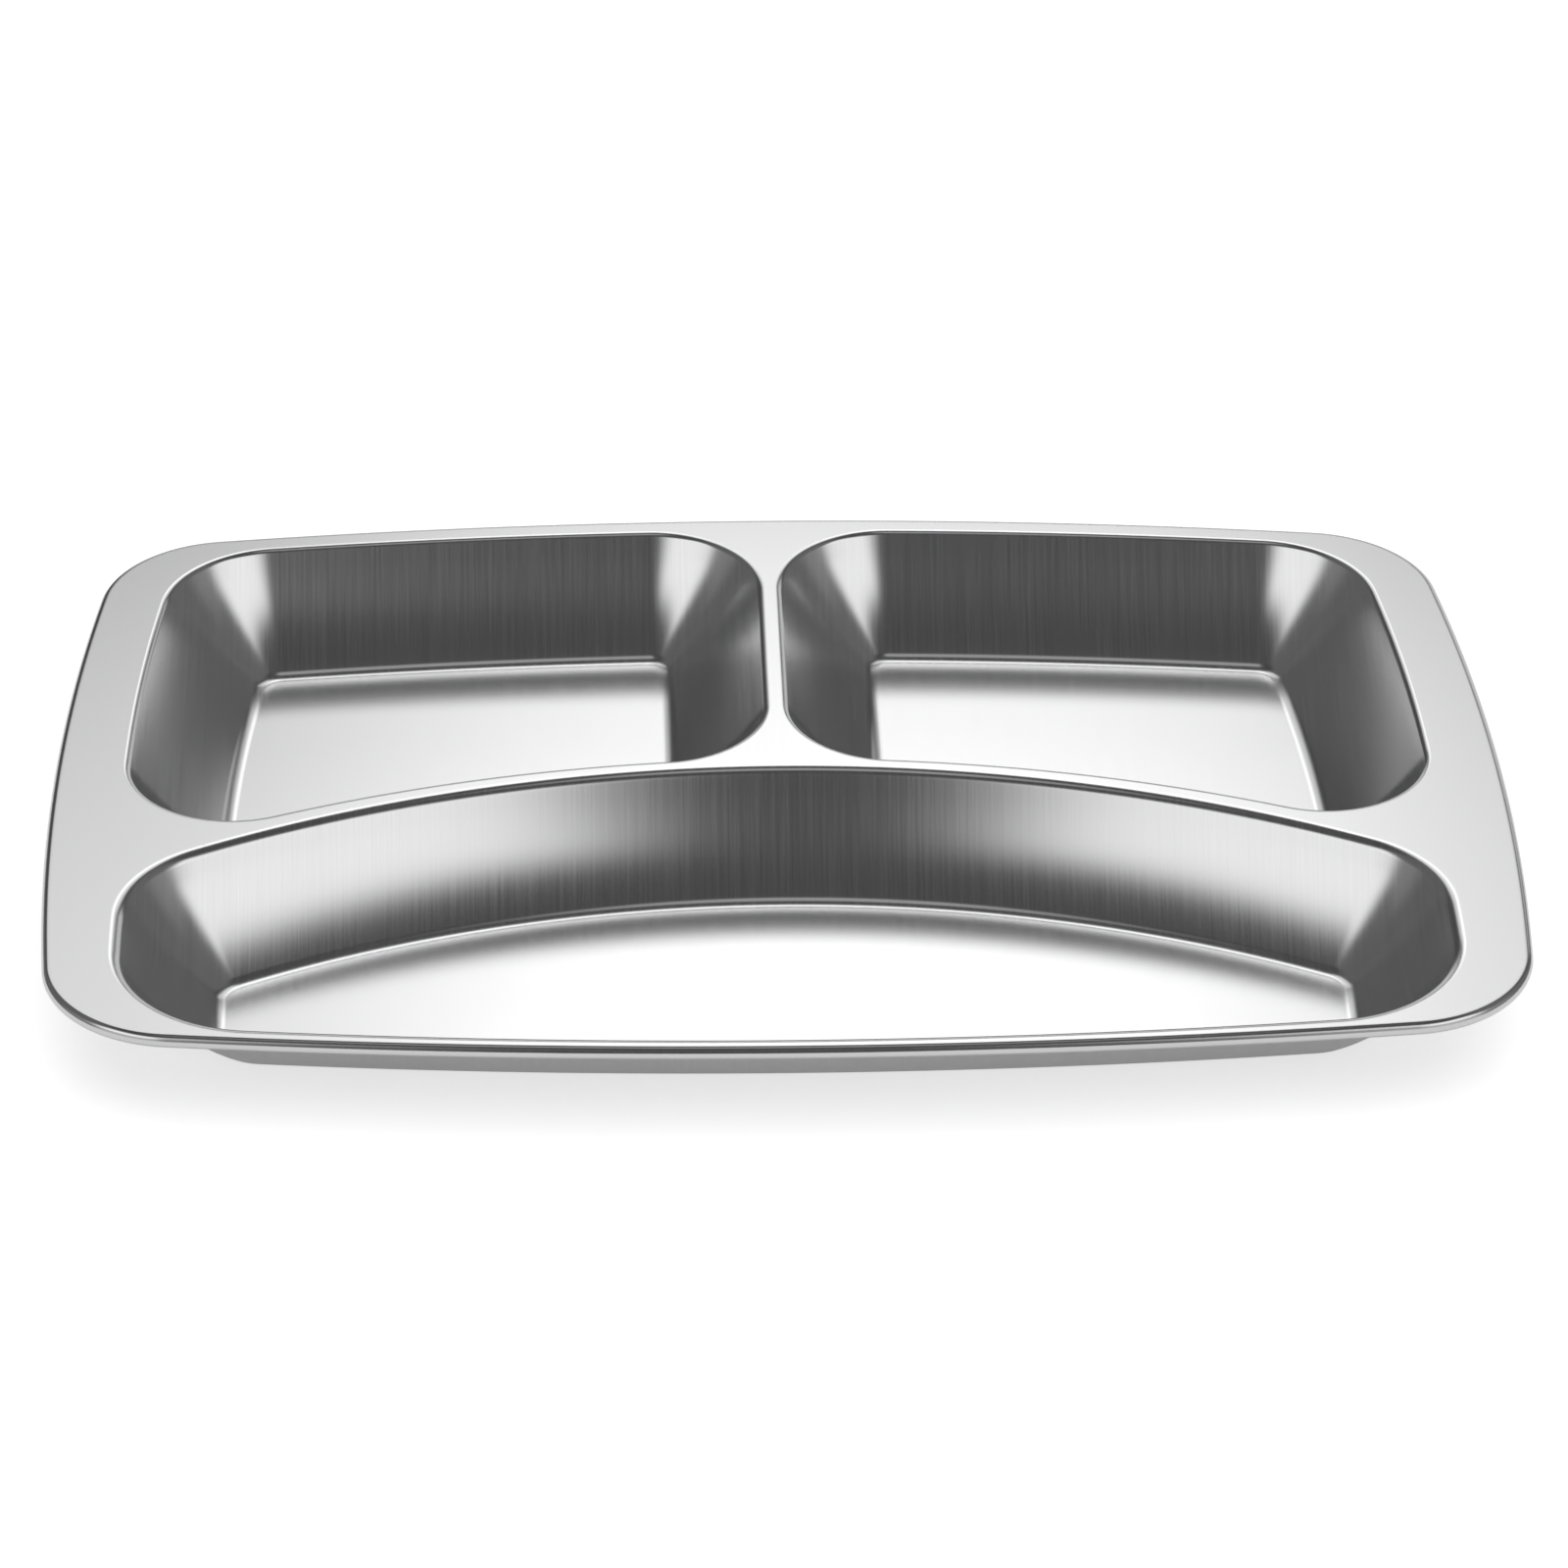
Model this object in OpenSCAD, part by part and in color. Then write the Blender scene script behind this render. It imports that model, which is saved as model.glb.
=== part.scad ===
// Divided compartment plate, pressed from one sheet of stainless steel.
// X runs across the plate, Y from the front to the back, and the floors stand on z = 0.
// Each outline is a ring of arcs, drawn where the deck and the wall would meet in a sharp edge.
// One sheet profile follows a ring for a wall, and the rolled rim follows the outer ring.
// The solids are regions of the one sheet, and meet face to face where the sheet is flat.

/* [Sheet] */
// Thickness of the sheet
sheet_t = 0.6; // [0.4:0.1:0.9]
// Radius of the bend from the deck into the main well's wall, on the upper face
main_deck_bend_r = 3.2; // [2:0.1:4]
// Radius of the bend from the deck into a back well's wall, on the upper face
back_deck_bend_r = 1.8; // [1.3:0.1:3]
// Radius of the bend from a wall into a floor, on the upper face
floor_bend_r = 5; // [3:0.1:7]

/* [Plate] */
// Width over the rim
plate_w = 300; // [285:1:330]
// Depth over the rim, along the middle
plate_d = 206; // [196:1:235]
// Height over all
plate_h = 21.5; // [15:0.5:25]
// Radius of the back edge
back_edge_r = 1000; // [600:20:1400]
// Radius of the front edge
front_edge_r = 1220; // [800:20:1600]
// Radius of each side edge
side_edge_r = 680; // [500:10:1000]
// Distance from the middle forward to where the plate is widest
widest_forward = 22; // [10:1:35]
// Radius of the four plate corners
plate_corner_r = 28; // [22:1:34]

/* [Rolled rim] */
// Outer diameter of the roll
rim_d = 3; // [2.4:0.1:4]
// Angle through which the edge is rolled
rim_roll = 280; // [200:5:290]

/* [Walls] */
// Steepness of a wall just below the deck
wall_top_angle = 57; // [51:1:60]
// Steepness of a wall just above the floor
wall_foot_angle = 38; // [32:1:44]

/* [Lands] */
// Width of the flat land between the rim and the back wells, along the middle
back_land = 6; // [5.5:0.1:10]
// Radius that the back wells lack of an even land there, so that it widens to its ends
back_land_flare = 34; // [0:2:60]
// Width of the flat land between the rim and the main well, along the middle
front_land = 4; // [4:0.1:9]
// Radius that the main well lacks of an even land there, so that it widens to its ends
front_land_flare = 96; // [40:2:160]
// Width of the flat land between the rim and the outer side of a back well
side_land = 15.5; // [11:0.5:22]
// Width of the flat land between the rim and each end of the main well
end_land = 16.4; // [13:0.1:22]
// Width of the divider between the two back wells
divider_w = 4.4; // [3.6:0.1:8]
// Width of the arched divider, along the middle
arch_divider_w = 4.2; // [3.1:0.1:7]
// Radius that the arched divider's back edge has beyond an even width, so that it widens to its ends
arch_divider_flare = 16.8; // [6:0.2:28]

/* [Main well] */
// Depth of the main well from front to back, along the middle
main_well_d = 99.1; // [85:0.1:108]
// Radius of the arched back side
main_arch_r = 253; // [235:1:300]
// Radius of each end
main_end_r = 400; // [250:10:700]
// Distance from the middle forward to where the main well is longest
main_end_forward = 58; // [48:1:66]
// Radius of the two floor corners at the arch
main_arch_corner_r = 5.4; // [4:0.2:14]
// Radius of the two floor corners at the front
main_front_corner_r = 8.2; // [5:0.2:14]

/* [Back wells] */
// Radius of the outer side
well_side_r = 580; // [400:4:800]
// Distance from the middle forward to where the outer side is widest
well_side_forward = 6.5; // [0:0.5:20]
// Radius of the floor corner at the back, by the outer side
outer_back_corner_r = 4; // [2:0.2:6]
// Radius of the floor corner at the back, by the divider
inner_back_corner_r = 2.6; // [1.2:0.2:5]
// Radius of the floor corner at the front, by the divider
inner_front_corner_r = 1.6; // [1.2:0.2:5]
// Radius of the floor corner at the front, by the outer side
outer_front_corner_r = 1.2; // [1:0.2:5]

/* [Hidden] */
right_angle = 90;
// Straight steps that stand for each bend of the sheet, for the bow of a wall and for the roll
deck_bend_steps = 4;
floor_bend_steps = 3;
bow_steps = 3;
roll_steps = 10;
// Widest gap between a ring's arc and the straight steps that stand for it
chord_gap = 0.1;

// Insets of a well's two bends from its sharp edge, for the main well and for a back well
main_deck_inset = -sharp_edge(main_deck_bend_r);
main_floor_inset = floor_bend_centre(main_deck_bend_r)[0];
back_deck_inset = -sharp_edge(back_deck_bend_r);
back_floor_inset = floor_bend_centre(back_deck_bend_r)[0];

// The roll starts at the top of its circle and turns outward and down
roll_r = rim_d/2;
roll_centre = [roll_r, plate_h - roll_r];
roll_end = right_angle + rim_roll;
rim_profile = concat(
    bend(roll_centre, roll_r - sheet_t, right_angle, roll_end, roll_steps),
    bend(roll_centre, roll_r, roll_end, right_angle, roll_steps)
);

// Lines that the rings hang from
back_line = plate_d/2;
front_line = -plate_d/2;
side_line = plate_w/2;
well_back_line = back_line - back_land;
main_front_line = front_line + front_land;
arch_line = main_front_line + main_well_d;
well_front_line = arch_line + arch_divider_w;
well_side_line = side_line - side_land;
main_end_line = side_line - end_land;
divider_line = divider_w/2;

// The wells follow the plate's edges and the arch
well_back_r = back_edge_r - back_land - back_land_flare;
main_front_r = front_edge_r - front_land - front_land_flare;
well_front_r = main_arch_r + arch_divider_w + arch_divider_flare;

// A side is [centre, radius, sense], and sense is 1 where the outline bulges or -1 where it is hollow
plate_back = [[0, back_line - back_edge_r], back_edge_r, 1];
plate_front = [[0, front_line + front_edge_r], front_edge_r, 1];
plate_side = [[side_line - side_edge_r, -widest_forward], side_edge_r, 1];
main_arch = [[0, arch_line - main_arch_r], main_arch_r, 1];
main_front = [[0, main_front_line + main_front_r], main_front_r, 1];
main_end = [[main_end_line - main_end_r, -main_end_forward], main_end_r, 1];
well_back = [[0, well_back_line - well_back_r], well_back_r, 1];
well_side = [[well_side_line - well_side_r, -well_side_forward], well_side_r, 1];
well_front = [[0, well_front_line - well_front_r], well_front_r, -1];

// The main well's floor is shortest from front to back at its ends, where its corners share this room
main_end_room_share = 0.64;
main_corner_room = main_end_room_share*(
    side_y(main_arch, main_end_line - main_floor_inset, main_floor_inset, 1)
    - side_y(main_front, main_end_line - main_floor_inset, main_floor_inset, -1)
);

plate_ring = mirrored_ring(plate_side, plate_back, plate_front, plate_corner_r, plate_corner_r);
main_ring = mirrored_ring(
    main_end, main_arch, main_front,
    min(main_arch_corner_r, main_corner_room) + main_floor_inset,
    min(main_front_corner_r, main_corner_room) + main_floor_inset
);
well_ring = back_well_ring(
    outer_back_corner_r + back_floor_inset, inner_back_corner_r + back_floor_inset,
    inner_front_corner_r + back_floor_inset, outer_front_corner_r + back_floor_inset
);

// Points round a bend from one angle to another, some of which may be left out at each end
function bend(centre, radius, from, to, steps, left_out = 0) = [
    for (i = [left_out : steps - left_out])
        let (a = from + (to - from)*i/steps) centre + radius*[cos(a), sin(a)]
];

// Distance from a well's sharp edge out to where its deck bend starts
function sharp_edge(deck_bend_r) = deck_bend_r*tan(wall_top_angle/2);

// A wall profile is [inward from the sharp edge, up]: a deck bend, a bow that is one wide arc, and a floor bend
function deck_bend_centre(deck_bend_r) = [-sharp_edge(deck_bend_r), plate_h - deck_bend_r];
function bow_drop(deck_bend_r) =
    plate_h - sheet_t - deck_bend_r*(1 - cos(wall_top_angle)) - floor_bend_r*(1 - cos(wall_foot_angle));
function bow_r(deck_bend_r) = bow_drop(deck_bend_r)/(cos(wall_foot_angle) - cos(wall_top_angle));
function bow_centre(deck_bend_r) =
    deck_bend_centre(deck_bend_r)
    + (deck_bend_r + bow_r(deck_bend_r))*[sin(wall_top_angle), cos(wall_top_angle)];
function floor_bend_centre(deck_bend_r) =
    bow_centre(deck_bend_r)
    - (bow_r(deck_bend_r) - floor_bend_r)*[sin(wall_foot_angle), cos(wall_foot_angle)];

// One face of the sheet down a wall, a depth below the upper face
// The bow leaves out its end points, which the two bends already have
function sheet_face(deck_bend_r, below) = concat(
    bend(deck_bend_centre(deck_bend_r), deck_bend_r - below,
        right_angle, right_angle - wall_top_angle, deck_bend_steps),
    bend(bow_centre(deck_bend_r), bow_r(deck_bend_r) + below,
        3*right_angle - wall_top_angle, 3*right_angle - wall_foot_angle, bow_steps, 1),
    bend(floor_bend_centre(deck_bend_r), floor_bend_r + below,
        3*right_angle - wall_foot_angle, 3*right_angle, floor_bend_steps)
);

// Closed profile of a wall, down its upper face and up its lower face
function wall_profile(deck_bend_r) =
    let (upper = sheet_face(deck_bend_r, 0), lower = sheet_face(deck_bend_r, sheet_t))
    concat(upper, [for (i = [len(lower) - 1 : -1 : 0]) lower[i]]);

// Y of a side at a distance from the middle, where the side is moved into the well by an inset
// The way is 1 for a side at the back of a ring, or -1 for one at the front
function side_y(side, x, inset, way) =
    let (reach = side[1] - side[2]*inset)
    side[0][1] + way*sqrt(reach*reach - x*x);

// Centre of a corner that touches two sides, where a hand of 1 takes the place on the right of the way
// from the first side's centre to the second side's, and -1 takes the one on the left
function corner_between(a, b, corner_r, hand) =
    let (
        reach_a = a[1] - a[2]*corner_r,
        reach_b = b[1] - b[2]*corner_r,
        way = b[0] - a[0],
        apart = norm(way),
        along = (reach_a*reach_a - reach_b*reach_b + apart*apart)/(2*apart),
        across = sqrt(reach_a*reach_a - along*along)
    )
    a[0] + (along*way + hand*across*[way[1], -way[0]])/apart;

// Centre of a corner that touches a side and the divider, above or below the side's centre
function corner_by_divider(a, corner_r) =
    let (reach = a[1] - a[2]*corner_r, x = divider_line + corner_r)
    [x, a[0][1] + sqrt(reach*reach - x*x)];

// Direction from one point to another, and an angle put no more than a full turn after a start
function bearing(from, to) = atan2(to[1] - from[1], to[0] - from[0]);
function after(angle, start) = angle < start ? angle + 4*right_angle : angle;

// An arc of a ring is [centre, radius, start angle, angle swept, sense]
function side_arc(side, corner_from, corner_to) =
    let (
        a = bearing(side[0], side[2] > 0 ? corner_from : corner_to),
        b = after(bearing(side[0], side[2] > 0 ? corner_to : corner_from), a)
    )
    [side[0], side[1], a, b - a, side[2]];
function corner_arc(centre, radius, from, to) = [centre, radius, from, after(to, from) - from, 1];

// Ring that is alike left and right, from its right side, its back and its front
function mirrored_ring(side, back, front, back_corner_r, front_corner_r) =
    let (
        left = [[-side[0][0], side[0][1]], side[1], side[2]],
        back_c = corner_between(side, back, back_corner_r, -1),
        front_c = corner_between(side, front, front_corner_r, 1),
        back_l = [-back_c[0], back_c[1]],
        front_l = [-front_c[0], front_c[1]]
    )
    [
        side_arc(side, front_c, back_c),
        corner_arc(back_c, back_corner_r, bearing(side[0], back_c), bearing(back[0], back_c)),
        side_arc(back, back_c, back_l),
        corner_arc(back_l, back_corner_r, bearing(back[0], back_l), bearing(left[0], back_l)),
        side_arc(left, back_l, front_l),
        corner_arc(front_l, front_corner_r, bearing(left[0], front_l), bearing(front[0], front_l)),
        side_arc(front, front_l, front_c),
        corner_arc(front_c, front_corner_r, bearing(front[0], front_c), bearing(side[0], front_c))
    ];

// Ring of the right back well: outer side, back, divider and arch, with a corner after each
function back_well_ring(outer_back_r, inner_back_r, inner_front_r, outer_front_r) =
    let (
        outer_back = corner_between(well_side, well_back, outer_back_r, -1),
        inner_back = corner_by_divider(well_back, inner_back_r),
        inner_front = corner_by_divider(well_front, inner_front_r),
        outer_front = corner_between(well_side, well_front, outer_front_r, -1)
    )
    [
        side_arc(well_side, outer_front, outer_back),
        corner_arc(outer_back, outer_back_r, bearing(well_side[0], outer_back),
            bearing(well_back[0], outer_back)),
        side_arc(well_back, outer_back, inner_back),
        corner_arc(inner_back, inner_back_r, bearing(well_back[0], inner_back), 2*right_angle),
        straight_side([divider_line, inner_back[1]], inner_back[1] - inner_front[1]),
        corner_arc(inner_front, inner_front_r, 2*right_angle, bearing(inner_front, well_front[0])),
        side_arc(well_front, inner_front, outer_front),
        corner_arc(outer_front, outer_front_r, bearing(outer_front, well_front[0]),
            bearing(well_side[0], outer_front))
    ];

// A straight side has its start for a centre, its length for a radius and no sense, and runs forward
function straight_side(start, length) = [start, length, 0, 0, 0];

// Point of a ring's arc, moved into the well by an inset, at a share of the way along the arc
function arc_point(arc, inset, share) =
    arc[4] == 0
    ? arc[0] + [inset, -share*arc[1]]
    : let (a = arc[2] + arc[3]*(arc[4] > 0 ? share : 1 - share))
        arc[0] + (arc[1] - arc[4]*inset)*[cos(a), sin(a)];

// Points round a ring that is moved into the well by an inset, as many at every inset
function arc_steps(arc) = arc[4] == 0 ? 1 : ceil(arc[3]/(2*acos(1 - chord_gap/arc[1])));
function ring_points(ring, inset) = [
    for (arc = ring) for (i = [0 : arc_steps(arc) - 1]) arc_point(arc, inset, i/arc_steps(arc))
];

// The flat shape inside a ring that is moved in by an inset
module inside(ring, inset) {
    polygon(ring_points(ring, inset));
}

// A sheet profile carried along a ring, as one closed skin
module along(ring, profile) {
    rows = [for (p = profile) [for (q = ring_points(ring, p[0])) [q[0], q[1], p[1]]]];
    high = len(rows);
    wide = len(rows[0]);
    corners = [
        for (i = [0 : high - 1]) for (j = [0 : wide - 1])
            let (k = (i + 1) % high, l = (j + 1) % wide)
                [i*wide + j, i*wide + l, k*wide + l, k*wide + j]
    ];
    faces = [for (c = corners) each [[c[2], c[1], c[0]], [c[3], c[2], c[0]]]];
    polyhedron(points = [for (row = rows) each row], faces = faces);
}

// Flat land round the wells, with both dividers
module deck() {
    color("silver") translate([0, 0, plate_h - sheet_t]) linear_extrude(sheet_t) difference() {
        inside(plate_ring, roll_r);
        inside(main_ring, main_deck_inset);
        for (flip = [0, 1]) mirror([flip, 0]) inside(well_ring, back_deck_inset);
    }
}

// Edge of the sheet, rolled outward and under
module rolled_rim() {
    color("gainsboro") along(plate_ring, rim_profile);
}

// Wall of the long arched well in front, with both bends
module main_well_wall() {
    color("darkgray") along(main_ring, wall_profile(main_deck_bend_r));
}

// Flat floor of the long well
module main_well_floor() {
    color("whitesmoke") linear_extrude(sheet_t) inside(main_ring, main_floor_inset);
}

// Wall and floor of a back well, drawn on the right
module back_well_wall() {
    color("darkgray") along(well_ring, wall_profile(back_deck_bend_r));
}
module back_well_floor() {
    color("whitesmoke") linear_extrude(sheet_t) inside(well_ring, back_floor_inset);
}

// The back wells are alike, left and right
module left_well_wall() {
    mirror([1, 0, 0]) back_well_wall();
}
module left_well_floor() {
    mirror([1, 0, 0]) back_well_floor();
}
module right_well_wall() {
    back_well_wall();
}
module right_well_floor() {
    back_well_floor();
}

deck();
rolled_rim();
main_well_wall();
main_well_floor();
left_well_wall();
left_well_floor();
right_well_wall();
right_well_floor();
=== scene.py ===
"""Divided compartment plate of pressed stainless steel, dressed over its CAD frame.

Metres, in the part's own frame: X across the plate to the right, Y from the long arched well to the
two back wells, Z up, with the underside of the floors at zero. The outlines repeat the part's rings of
arcs with finer steps, and every region of the sheet is a closed shell that meets its neighbours where
the sheet is flat.
"""

from __future__ import annotations

import logging
import math
from dataclasses import dataclass, field
from enum import Enum

import bpy
import numpy as np
from mathutils import Matrix, Vector
from mathutils.geometry import tessellate_polygon


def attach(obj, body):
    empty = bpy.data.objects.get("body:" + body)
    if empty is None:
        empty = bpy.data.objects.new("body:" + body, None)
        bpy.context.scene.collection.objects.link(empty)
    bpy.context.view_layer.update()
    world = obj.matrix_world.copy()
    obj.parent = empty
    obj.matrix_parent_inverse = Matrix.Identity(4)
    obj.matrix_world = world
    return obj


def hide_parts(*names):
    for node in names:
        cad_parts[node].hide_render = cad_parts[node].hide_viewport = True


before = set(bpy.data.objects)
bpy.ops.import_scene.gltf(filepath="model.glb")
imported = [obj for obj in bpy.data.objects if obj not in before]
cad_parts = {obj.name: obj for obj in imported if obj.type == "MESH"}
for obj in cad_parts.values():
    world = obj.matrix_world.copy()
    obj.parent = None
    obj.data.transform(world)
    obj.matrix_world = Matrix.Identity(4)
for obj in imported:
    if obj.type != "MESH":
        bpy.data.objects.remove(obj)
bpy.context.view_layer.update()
BODY = "root"
LOG = logging.getLogger("compartment_plate")

QUARTER = math.pi / 2
TURN = 2 * math.pi
SHARP = math.radians(50)
GRAIN_DETAIL = 4


class Sense(Enum):
    """Which way a side of an outline curves."""

    BULGING = 1
    HOLLOW = -1
    STRAIGHT = 0


class Hand(Enum):
    """Side of the way between two centres on which a corner lies."""

    RIGHT = 1
    LEFT = -1


@dataclass(frozen=True)
class Side:
    """Arc that one side of an outline lies on.

    Args:
        centre: Centre of the arc in plan.
        radius: Radius of the arc.
        sense: Whether the outline bulges or is hollow there.
    """

    centre: tuple[float, float]
    radius: float
    sense: Sense = Sense.BULGING

    def reach(self, inset: float) -> float:
        """Radius of the side once it is moved into the outline by an inset."""
        return self.radius - self.sense.value * inset

    def corner_with(self, other: Side, radius: float, hand: Hand) -> tuple[float, float]:
        """Centre of a corner that touches this side and another.

        Args:
            other: The other side.
            radius: Radius of the corner.
            hand: Side of the way from this centre to the other that the corner takes.

        Returns:
            The corner's centre.
        """
        reach_a = self.reach(radius)
        reach_b = other.reach(radius)
        way_x = other.centre[0] - self.centre[0]
        way_y = other.centre[1] - self.centre[1]
        apart = math.hypot(way_x, way_y)
        along = (reach_a**2 - reach_b**2 + apart**2) / (2 * apart)
        across = hand.value * math.sqrt(reach_a**2 - along**2)
        return (
            self.centre[0] + (along * way_x + across * way_y) / apart,
            self.centre[1] + (along * way_y - across * way_x) / apart,
        )

    def corner_by_line(self, line: float, radius: float) -> tuple[float, float]:
        """Centre of a corner that touches this side from the back and a line of even X."""
        across = line + radius
        return (across, self.centre[1] + math.sqrt(self.reach(radius) ** 2 - across**2))

    def mirrored(self) -> Side:
        """The same side on the other half of the plate."""
        return Side((-self.centre[0], self.centre[1]), self.radius, self.sense)


def bearing(start: tuple[float, float], end: tuple[float, float]) -> float:
    """Direction from one point to another, in radians."""
    return math.atan2(end[1] - start[1], end[0] - start[0])


@dataclass(frozen=True)
class Stretch:
    """One stretch of an outline: an arc, or a straight run towards the front.

    Args:
        centre: Centre of the arc, or start of the straight run.
        radius: Radius of the arc, or length of the straight run.
        start: Angle at which the arc starts.
        swept: Angle that the arc sweeps.
        sense: Whether the outline bulges, is hollow or is straight there.
    """

    centre: tuple[float, float]
    radius: float
    start: float
    swept: float
    sense: Sense

    @classmethod
    def of_side(cls, side: Side, first: tuple[float, float], last: tuple[float, float]) -> Stretch:
        """Stretch of a side between two corners.

        Args:
            side: The side.
            first: Centre of the corner before it.
            last: Centre of the corner after it.

        Returns:
            The stretch.
        """
        if side.sense is Sense.HOLLOW:
            first, last = last, first
        start = bearing(side.centre, first)
        swept = (bearing(side.centre, last) - start) % TURN
        return cls(side.centre, side.radius, start, swept, side.sense)

    @classmethod
    def of_corner(cls, centre: tuple[float, float], radius: float, start: float, end: float) -> Stretch:
        """Corner from one angle to another."""
        return cls(centre, radius, start, (end - start) % TURN, Sense.BULGING)

    def steps(self, side_step: float, corner_step: float) -> int:
        """How many short lines stand for the stretch.

        Args:
            side_step: Longest line on a side.
            corner_step: Widest angle of a line on a tight corner.

        Returns:
            The number of lines.
        """
        if self.sense is Sense.STRAIGHT:
            return math.ceil(self.radius / side_step)
        return math.ceil(max(self.radius * self.swept / side_step, self.swept / corner_step))

    def point(self, inset: float, share: float) -> tuple[float, float]:
        """Point of the stretch in plan.

        Args:
            inset: How far the stretch is moved into the outline.
            share: Share of the way along, from 0 to 1.

        Returns:
            The point.
        """
        if self.sense is Sense.STRAIGHT:
            return (self.centre[0] + inset, self.centre[1] - share * self.radius)
        turned = share if self.sense is Sense.BULGING else 1 - share
        angle = self.start + self.swept * turned
        reach = self.radius - self.sense.value * inset
        return (self.centre[0] + reach * math.cos(angle), self.centre[1] + reach * math.sin(angle))


@dataclass(frozen=True)
class Ring:
    """Closed outline of stretches, anticlockwise from above.

    Args:
        stretches: The stretches in order.
        side_step: Longest line on a side.
        corner_step: Widest angle of a line on a corner.
    """

    stretches: tuple[Stretch, ...]
    side_step: float = 0.0012
    corner_step: float = math.radians(1.6)

    def loop(self, inset: float) -> np.ndarray:
        """Points of the outline in plan.

        Args:
            inset: How far the outline is drawn in.

        Returns:
            The points, as many at every inset.
        """
        points = []
        for stretch in self.stretches:
            count = stretch.steps(self.side_step, self.corner_step)
            points += [stretch.point(inset, i / count) for i in range(count)]
        return np.array(points)

    @classmethod
    def mirrored(cls, side: Side, back: Side, front: Side, back_r: float, front_r: float) -> Ring:
        """Outline that is alike left and right.

        Args:
            side: The right side.
            back: The back.
            front: The front.
            back_r: Radius of the two back corners.
            front_r: Radius of the two front corners.

        Returns:
            The outline.
        """
        left = side.mirrored()
        back_c = side.corner_with(back, back_r, Hand.LEFT)
        front_c = side.corner_with(front, front_r, Hand.RIGHT)
        back_l = (-back_c[0], back_c[1])
        front_l = (-front_c[0], front_c[1])
        corner = Stretch.of_corner
        return cls((
            Stretch.of_side(side, front_c, back_c),
            corner(back_c, back_r, bearing(side.centre, back_c), bearing(back.centre, back_c)),
            Stretch.of_side(back, back_c, back_l),
            corner(back_l, back_r, bearing(back.centre, back_l), bearing(left.centre, back_l)),
            Stretch.of_side(left, back_l, front_l),
            corner(front_l, front_r, bearing(left.centre, front_l), bearing(front.centre, front_l)),
            Stretch.of_side(front, front_l, front_c),
            corner(front_c, front_r, bearing(front.centre, front_c), bearing(side.centre, front_c)),
        ))


@dataclass(frozen=True)
class PressedSheet:
    """The sheet, and the profile that it takes down the wall of a well.

    Args:
        deck_bend_r: Radius of the bend from the deck into the wall, on the upper face.
        thickness: Thickness of the sheet.
        height: Height of the deck over the table.
        floor_bend_r: Radius of the bend from a wall into a floor, on the upper face.
        wall_top_angle: Steepness of a wall just below the deck.
        wall_foot_angle: Steepness of a wall just above the floor.
        seam_strip: Width of the flat strip that a wall keeps on the deck and on the floor.
        bend_steps: Short lines that stand for each bend.
        bow_steps: Short lines that stand for the bow of a wall.
    """

    deck_bend_r: float
    thickness: float = 0.0006
    height: float = 0.0215
    floor_bend_r: float = 0.005
    wall_top_angle: float = math.radians(57)
    wall_foot_angle: float = math.radians(38)
    seam_strip: float = 0.0002
    bend_steps: int = 14
    bow_steps: int = 10

    @property
    def sharp_edge(self) -> float:
        """Distance from a well's sharp edge out to where its deck bend starts."""
        return self.deck_bend_r * math.tan(self.wall_top_angle / 2)

    @property
    def bow_r(self) -> float:
        """Radius of the bow of a wall.

        Returns:
            The radius at which the bow fills the drop that both bends leave.
        """
        drop = (
            self.height
            - self.thickness
            - self.deck_bend_r * (1 - math.cos(self.wall_top_angle))
            - self.floor_bend_r * (1 - math.cos(self.wall_foot_angle))
        )
        return drop / (math.cos(self.wall_foot_angle) - math.cos(self.wall_top_angle))

    @property
    def bend_centres(self) -> tuple[np.ndarray, np.ndarray, np.ndarray]:
        """Centres of the three bends down a wall.

        Returns:
            Inset and height of the deck bend's centre, the bow's and the floor bend's.
        """
        top = np.array([math.sin(self.wall_top_angle), math.cos(self.wall_top_angle)])
        foot = np.array([math.sin(self.wall_foot_angle), math.cos(self.wall_foot_angle)])
        deck = np.array([-self.sharp_edge, self.height - self.deck_bend_r])
        bow = deck + (self.deck_bend_r + self.bow_r) * top
        return deck, bow, bow - (self.bow_r - self.floor_bend_r) * foot

    @property
    def floor_inset(self) -> float:
        """Inset of a floor's edge from its well's sharp edge."""
        return float(self.bend_centres[2][0])

    @property
    def deck_seam(self) -> float:
        """Inset at which a wall meets the deck."""
        return -self.sharp_edge - self.seam_strip

    @property
    def floor_seam(self) -> float:
        """Inset at which a wall meets its floor."""
        return self.floor_inset + self.seam_strip

    def face(self, below: float) -> list[tuple[float, float]]:
        """One face of the sheet down a wall.

        Args:
            below: Depth of the face below the upper face.

        Returns:
            Points of inset and height, from the deck to the floor.
        """
        deck, bow, foot = self.bend_centres
        deck_end = QUARTER - self.wall_top_angle
        bow_start = 3 * QUARTER - self.wall_top_angle
        bow_end = 3 * QUARTER - self.wall_foot_angle
        points = [(self.deck_seam, self.height - below)]
        points += bend(deck, self.deck_bend_r - below, QUARTER, deck_end, self.bend_steps)
        points += bend(bow, self.bow_r + below, bow_start, bow_end, self.bow_steps)[1:-1]
        points += bend(foot, self.floor_bend_r + below, bow_end, 3 * QUARTER, self.bend_steps)
        points.append((self.floor_seam, self.thickness - below))
        return points

    @property
    def wall_profile(self) -> list[tuple[float, float]]:
        """Closed profile of a wall, down its upper face and up its lower face."""
        return self.face(0) + self.face(self.thickness)[::-1]


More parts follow.
